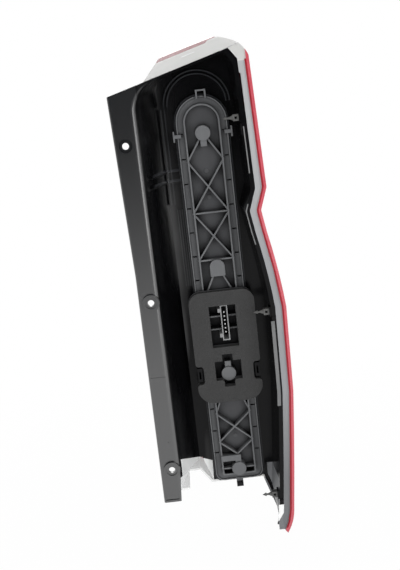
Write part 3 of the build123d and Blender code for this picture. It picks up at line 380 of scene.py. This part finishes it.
finishes = {
    "housing_black": makeHousingBlack(),
    "lens_red": makeLensRed(),
    "lens_amber": makeLensClear("lensIndicator", rgb(236, 232, 224)),
    "lens_clear": makeLensClear("lensReverse", rgb(228, 232, 236)),
    "skirt_grey": makeSkirtGrey(),
    "foam_black": makeFoam("foamBlack", rgb(24, 24, 24), rgb(42, 42, 42)),
    "carrier_grey": makeMouldedGrey("carrierGrey", rgb(84, 85, 87), rgb(100, 101, 102), rgb(42, 42, 44)),
    "shroud_grey": makeMouldedGrey("shroudGrey", rgb(108, 109, 110), rgb(132, 132, 132)),
    "strip_grey": makeMouldedGrey("stripGrey", rgb(92, 93, 94), rgb(112, 112, 112)),
    "foam_grey": makeFoam("foamGrey", rgb(45, 45, 45), rgb(60, 60, 60)),
    "tinned_pin": makeMetal("tinnedPin", rgb(205, 206, 208), rgb(232, 232, 232), 0.18, 0.32, 400),
    "brass_strip": makeMetal("brassStrip", rgb(176, 138, 70), rgb(206, 170, 96), 0.25, 0.4, 200),
    "bulb_cap": makeMetal("bulbCap", rgb(190, 168, 120), rgb(214, 196, 150), 0.2, 0.35, 200),
    "bulb_glass": makeBulbGlass(),
    "reflector_metal": makeMetal("reflectorMetal", rgb(222, 223, 225), rgb(240, 240, 240), 0.08, 0.16, 40),
    "clip_grey": makeClipGrey(),
}
for part in frame["record"]["subparts"]:
    dress(part["node"], finishes[part["material_slot"]])
print("finishes:", len(finishes))


# Thin dressing on the solids, in millimetres: ribbons along the outboard side and pale panels at the foot
sideProfile = [(292, 153.5), (131, 160), (103, 150.6), (75, 155.2), (26, 164.4), (-24, 170.6), (-138, 169.6),
               (-219, 163.6), (-306, 156), (-324, 152.2), (-338.6, 145)]
perMetre = 1000


def sideAt(height):
    for (high, highX), (low, lowX) in zip(sideProfile, sideProfile[1:]):
        if low <= height <= high:
            return lowX + (highX - lowX) * (height - low) / (high - low)
    return sideProfile[0][1]


def makeSheet(name, finish, pairs, push):
    # a thin solid from pairs of points, thickened by push
    shape = bmesh.new()
    rows = [[shape.verts.new(Vector(point) / perMetre) for point in pair] for pair in pairs]
    for (a, b), (c, d) in zip(rows, rows[1:]):
        shape.faces.new((a, b, d, c))
    grown = bmesh.ops.extrude_face_region(shape, geom=shape.faces[:])
    moved = [item for item in grown["geom"] if isinstance(item, bmesh.types.BMVert)]
    bmesh.ops.translate(shape, verts=moved, vec=Vector(push) / perMetre)
    bmesh.ops.recalc_face_normals(shape, faces=shape.faces[:])
    mesh = bpy.data.meshes.new(name)
    shape.to_mesh(mesh)
    shape.free()
    mesh.materials.append(finish.material)
    piece = bpy.data.objects.new(name, mesh)
    scene.collection.objects.link(piece)
    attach(piece, "root")
    return piece


def makeRibbon(name, finish, ribbon):
    # rows of height and of the ribbon's outer and inner edges, measured inwards from the side profile
    pairs = [((sideAt(z) - inner, ribbon["front"], z), (sideAt(z) - outer, ribbon["front"], z))
             for z, outer, inner in ribbon["rows"]]
    return makeSheet(name, finish, pairs, (0, ribbon["thick"], 0))


rimShade = makeSatin("rimShade", rgb(112, 18, 28), rgb(140, 28, 38))
tailGrey = makeSatin("tailGrey", rgb(100, 101, 103), rgb(116, 117, 118))
finPale = makeSatin("finPale", rgb(214, 215, 214), rgb(228, 229, 228))

# painted shade: a dark red ribbon along the inner side of the lens rim's rounded bead
rimLine = dict(top=288, bottom=-331, outer=3.5, inner=5.7, front=-2.14, thick=0.12, step=4.0)
fall = rimLine["bottom"] - rimLine["top"]
count = math.ceil(-fall / rimLine["step"])
heights = [rimLine["top"] + fall * i / count for i in range(count + 1)]
rimLine["rows"] = [(z, rimLine["outer"], rimLine["inner"]) for z in heights]
makeRibbon("rimLine", rimShade, rimLine)

finPanel = dict(pairs=[((12.9, 5, -243.2), (12.9, 5, -218.5)), ((37.6, 62, -243.2), (37.6, 62, -242.4))],
                thick=0.25)
makeSheet("finPanel", finPale, finPanel["pairs"], (finPanel["thick"], 0, 0))
footPanel = dict(pairs=[((41.5, 61.4, -245.5), (42.5, 61.4, -245)), ((53.2, 61.4, -279), (54.2, 61.4, -249.5))],
                 thick=0.25)
makeSheet("footPanel", finPale, footPanel["pairs"], (0, footPanel["thick"], 0))

tailPale = dict(front=-0.2, thick=0.12, rows=[(-297.5, 13.6, 20.4), (-309.5, 13.6, 20.0), (-321.0, 18.6, 19.2)])
makeRibbon("tailPale", finPale, tailPale)
tailTip = dict(front=-0.2, thick=0.12,
               rows=[(-309.5, 13.4, 13.6), (-321.0, 13.4, 18.6), (-326.0, 11.0, 17.4), (-333.5, 6.0, 13.6)])
makeRibbon("tailTip", tailGrey, tailTip)

# the slot's tab lies in the plane of the top wall, which is found beside the slot
slotTab = dict(middle=(82, 58), wide=17, deep=5, thick=0.3, beside=(60, 75), above=400)
overhead = Vector((*slotTab["beside"], slotTab["above"])) / perMetre
hit, seat, wallNormal, face = frame["nodes"]["lens_skirt"].ray_cast(overhead, Vector((0, 0, -1)))
seat = seat * perMetre


def onTopWall(dx, dy):
    x = slotTab["middle"][0] + dx
    y = slotTab["middle"][1] + dy
    away = wallNormal.x * (x - seat.x) + wallNormal.y * (y - seat.y)
    return (x, y, seat.z - away / wallNormal.z)


halfWide = slotTab["wide"] / 2
halfDeep = slotTab["deep"] / 2
tabPairs = [[onTopWall(dx, dy) for dy in (-halfDeep, halfDeep)] for dx in (-halfWide, halfWide)]
makeSheet("slotTab", finPale, tabPairs, (0, 0, slotTab["thick"]))
print("dressing added")


# Stage: pale floor under the tip, white surround, dark card behind the camera
stageSet = dict(floorSize=7.0, cardBack=-2.7, cardHalf=2.2, cardHigh=2.4, shadowShare=0.02, shadowNear=0.35,
                shadowFar=0.9, worldDim=0.34, aim=(0.06, 0.0, 0.0))


def seesBackdrop(f):
    path = f.add("ShaderNodeLightPath")
    outputs = path.socket.node.outputs
    parts = [Wire(f, outputs[name]) for name in ("Is Camera Ray", "Is Glossy Ray", "Is Transmission Ray")]
    return f.add("ShaderNodeClamp", None, {0: parts[0] + parts[1] + parts[2]})


def makeFloorWhite():
    f = Finish("floorWhite")
    lit = f.add("ShaderNodeBsdfDiffuse", None, {"Color": rgb(232, 232, 232)})
    glow = f.add("ShaderNodeEmission", None, {"Color": (1, 1, 1, 1), "Strength": 1.0})
    away = f.add("ShaderNodeVectorMath", {"operation": "LENGTH"}, {0: f.place()}, "Value")
    fade = f.span(away, stageSet["shadowNear"], stageSet["shadowFar"], stageSet["shadowShare"], 0.0)
    share = seesBackdrop(f) * (1 - fade)
    f.show(f.add("ShaderNodeMixShader", None, {0: share, 1: lit, 2: glow}))
    return f


def makeCardBlack():
    f = Finish("cardBlack")
    f.show(f.add("ShaderNodeBsdfDiffuse", None, {"Color": rgb(24, 24, 26)}))
    return f


def makePlane(name, corners, finish):
    mesh = bpy.data.meshes.new(name)
    shape = bmesh.new()
    shape.faces.new([shape.verts.new(corner) for corner in corners])
    shape.to_mesh(mesh)
    shape.free()
    mesh.materials.append(finish.material)
    plane = bpy.data.objects.new(name, mesh)
    scene.collection.objects.link(plane)
    return plane


floorHeight = cadBox[0][2]
reach = stageSet["floorSize"] / 2
makePlane("floor", [(-reach, -reach, floorHeight), (reach, -reach, floorHeight),
                    (reach, reach, floorHeight), (-reach, reach, floorHeight)], makeFloorWhite())
card = makePlane("card", [(-stageSet["cardHalf"], stageSet["cardBack"], floorHeight),
                          (-stageSet["cardHalf"], stageSet["cardBack"], stageSet["cardHigh"]),
                          (stageSet["cardHalf"], stageSet["cardBack"], stageSet["cardHigh"]),
                          (stageSet["cardHalf"], stageSet["cardBack"], floorHeight)], makeCardBlack())
card.visible_camera = False

world = bpy.data.worlds.new("surround")
scene.world = world
world.use_nodes = True
w = Finish("surround", world.node_tree)
skyShare = seesBackdrop(w)
dim = w.add("ShaderNodeBackground", None, {"Color": (0.95, 0.97, 1.0, 1.0), "Strength": stageSet["worldDim"]})
white = w.add("ShaderNodeBackground", None, {"Color": (1, 1, 1, 1), "Strength": 1.0})
sky = w.add("ShaderNodeMixShader", None, {0: skyShare, 1: dim, 2: white})
w.add("ShaderNodeOutputWorld", None, {"Surface": sky})


def addLamp(name, place, size, power, glossy=True):
    lamp = bpy.data.lights.new(name, "AREA")
    lamp.shape = "RECTANGLE"
    lamp.size, lamp.size_y = size
    lamp.energy = power
    holder = bpy.data.objects.new(name, lamp)
    scene.collection.objects.link(holder)
    turn = (Vector(stageSet["aim"]) - Vector(place)).to_track_quat("-Z", "Y")
    holder.matrix_world = Matrix.Translation(place) @ turn.to_matrix().to_4x4()
    holder.visible_glossy = glossy


addLamp("topBox", place=(0.0, -0.7, 1.6), size=(1.6, 1.2), power=4)
addLamp("leftBox", place=(-1.2, -1.6, 0.1), size=(0.8, 1.4), power=20, glossy=False)
addLamp("rightBox", place=(1.3, -1.5, 0.3), size=(0.8, 1.4), power=16)
addLamp("frontBox", place=(0.06, -1.6, 0.1), size=(0.7, 0.9), power=14, glossy=False)
addLamp("faceBox", place=(0.2, 1.7, 0.8), size=(1.2, 1.2), power=14)
print("stage and lamps set")

# Camera at the photograph's place: a little above, turned so that the lamp leans left
view = dict(place=(0.0644, -1.2118, 0.3070), down=13.5, roll=6.5, lens=62.15, sensor=36.0)
down = math.radians(view["down"])
roll = math.radians(view["roll"])
forward = Vector((0, math.cos(down), -math.sin(down)))
right = Vector((1, 0, 0))
up = right.cross(forward)
turnedRight = right * math.cos(roll) - up * math.sin(roll)
turnedUp = right * math.sin(roll) + up * math.cos(roll)
cameraData = bpy.data.cameras.new("camera")
cameraData.sensor_fit = "VERTICAL"
cameraData.sensor_height = view["sensor"]
cameraData.lens = view["lens"]
cameraData.clip_end = 50
camera = bpy.data.objects.new("camera", cameraData)
scene.collection.objects.link(camera)
axes = Matrix((turnedRight, turnedUp, -forward)).transposed()
camera.matrix_world = Matrix.Translation(view["place"]) @ axes.to_4x4()
scene.camera = camera
print("camera set")
